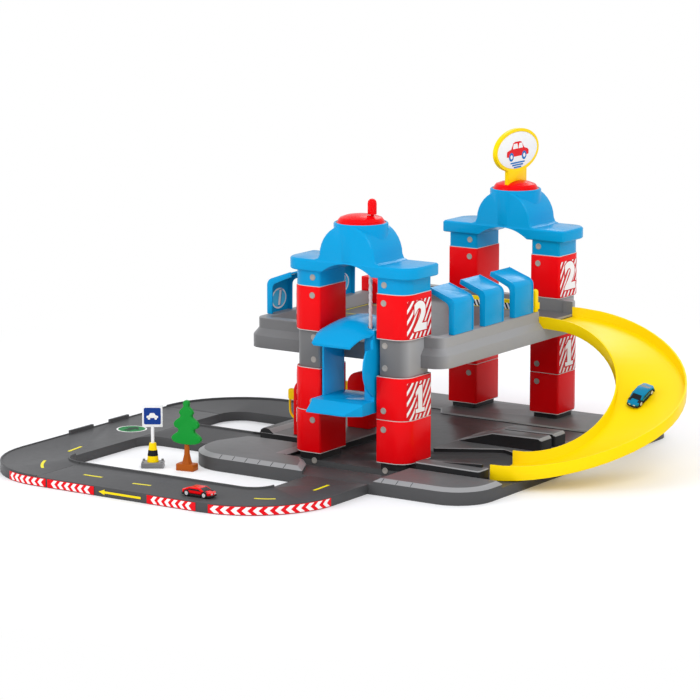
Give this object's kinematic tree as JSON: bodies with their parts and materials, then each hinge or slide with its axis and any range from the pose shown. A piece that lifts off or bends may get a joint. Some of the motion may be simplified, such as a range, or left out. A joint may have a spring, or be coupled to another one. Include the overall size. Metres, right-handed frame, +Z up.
{
  "type": "toy parking garage",
  "caption": "Toy parking garage with block towers under arched roofs, a raised deck with a crank lift, a curved ramp down and a road loop.",
  "frame": {"origin": "on the floor, midway between the four tower pillars", "axes": "+X right along the front edge, +Y from the lift tower to the rear tower, +Z up"},
  "size_m": [1.243, 1.184, 0.6485],
  "materials": {
    "gloss_red": "moulded plastic, satin to glossy",
    "gloss_blue": "moulded plastic, satin to glossy",
    "grey_plastic": "moulded plastic, satin to glossy",
    "dark_grey_plastic": "moulded plastic, satin to glossy",
    "gloss_yellow": "moulded plastic, satin to glossy",
    "white_plastic": "moulded plastic, satin to glossy",
    "pale_plastic": "moulded plastic, satin to glossy",
    "green_plastic": "moulded plastic, satin to glossy",
    "brown_plastic": "moulded plastic, satin to glossy",
    "black_plastic": "moulded plastic, satin to glossy"
  },
  "bodies": {
    "garage": {"barrier_pin": "pale_plastic", "barrier_post": "gloss_yellow", "base_platform": "dark_grey_plastic", "blue_car_body": "gloss_blue", "blue_car_chassis": "dark_grey_plastic", "canopy_left_1": "gloss_blue", "canopy_left_2": "gloss_blue", "canopy_left_3": "gloss_blue", "canopy_right_1": "gloss_blue", "canopy_right_2": "gloss_blue", "canopy_right_3": "gloss_blue", "deck": "grey_plastic", "deck_booth": "gloss_red", "front_left_lower_block": "gloss_red", "front_left_middle_block": "gloss_red", "front_left_upper_block": "gloss_red", "front_right_lower_block": "gloss_red", "front_right_middle_block": "gloss_red", "front_right_upper_block": "gloss_red", "pump_body_1": "gloss_red", "pump_body_2": "gloss_red", "pump_nozzle_1": "gloss_yellow", "pump_nozzle_2": "gloss_yellow", "ramp": "gloss_yellow", "rear_left_lower_block": "gloss_red", "rear_left_middle_block": "gloss_red", "rear_left_upper_block": "gloss_red", "rear_right_lower_block": "gloss_red", "rear_right_middle_block": "gloss_red", "rear_right_upper_block": "gloss_red", "red_car_body": "gloss_red", "red_car_chassis": "dark_grey_plastic", "road_front": "dark_grey_plastic", "road_left_bend": "dark_grey_plastic", "road_link": "dark_grey_plastic", "road_rear": "dark_grey_plastic", "roof_front": "gloss_blue", "roof_rear": "gloss_blue", "sign_post_base": "grey_plastic", "sign_post_board": "white_plastic", "sign_post_cone": "gloss_yellow", "sign_post_pole": "white_plastic", "tree_foliage": "green_plastic", "tree_trunk": "brown_plastic"},
    "lift": {"lift_cab": "gloss_blue", "lift_nut": "white_plastic"},
    "screw": {"lift_screw": "pale_plastic", "screw_gear": "white_plastic"},
    "crank": {"crank_disc": "gloss_red", "crank_handle": "gloss_red", "crank_gear": "white_plastic"},
    "sign": {"sign_dome": "gloss_red", "sign_frame": "gloss_yellow", "sign_face_left": "white_plastic", "sign_face_right": "white_plastic"},
    "barrier": {"barrier_arm": "gloss_yellow"},
    "red_car_front_wheels": {"red_car_front_axle": "black_plastic"},
    "red_car_rear_wheels": {"red_car_rear_axle": "black_plastic"},
    "blue_car_front_wheels": {"blue_car_front_axle": "black_plastic"},
    "blue_car_rear_wheels": {"blue_car_rear_axle": "black_plastic"}
  },
  "joints": [
    {"name": "lift_slide", "type": "slide", "parent": "garage", "child": "lift", "axis": [0, 0, 1], "range_m": [-0.112, 0.104]},
    {"name": "screw_turn", "type": "hinge", "parent": "garage", "child": "screw", "pos_m": [0.04576, -0.33998, 0.2], "axis": [0, 0, 1], "range_deg": [-1260, 1350]},
    {"name": "crank_turn", "type": "hinge", "parent": "garage", "child": "crank", "pos_m": [0, -0.306, 0.518], "axis": [0, 0, 1], "range_deg": [-400, 372]},
    {"name": "sign_swivel", "type": "hinge", "parent": "garage", "child": "sign", "pos_m": [0, 0.306, 0.518], "axis": [0, 0, 1], "range_deg": [-170, 170]},
    {"name": "barrier_lift", "type": "hinge", "parent": "garage", "child": "barrier", "pos_m": [0.172, 0.108, 0.302], "axis": [0, 1, 0], "range_deg": [0, 80]},
    {"name": "red_car_front_roll", "type": "hinge", "parent": "garage", "child": "red_car_front_wheels", "pos_m": [-0.069, -0.745, 0.0268], "axis": [0, 1, 0], "continuous": true},
    {"name": "red_car_rear_roll", "type": "hinge", "parent": "garage", "child": "red_car_rear_wheels", "pos_m": [-0.111, -0.745, 0.0268], "axis": [0, 1, 0], "continuous": true},
    {"name": "blue_car_front_roll", "type": "hinge", "parent": "garage", "child": "blue_car_front_wheels", "pos_m": [0.47107, 0.00122, 0.14605], "axis": [0.9812, -0.0132, -0.1923], "continuous": true},
    {"name": "blue_car_rear_roll", "type": "hinge", "parent": "garage", "child": "blue_car_rear_wheels", "pos_m": [0.47513, 0.03889, 0.16419], "axis": [0.9812, -0.0132, -0.1923], "continuous": true}
  ],
  "couplings": [
    {"joint": "screw_turn", "follows": "lift_slide", "rad_per_m": -209.44},
    {"joint": "crank_turn", "follows": "lift_slide", "rad_per_m": 61.88}
  ]
}
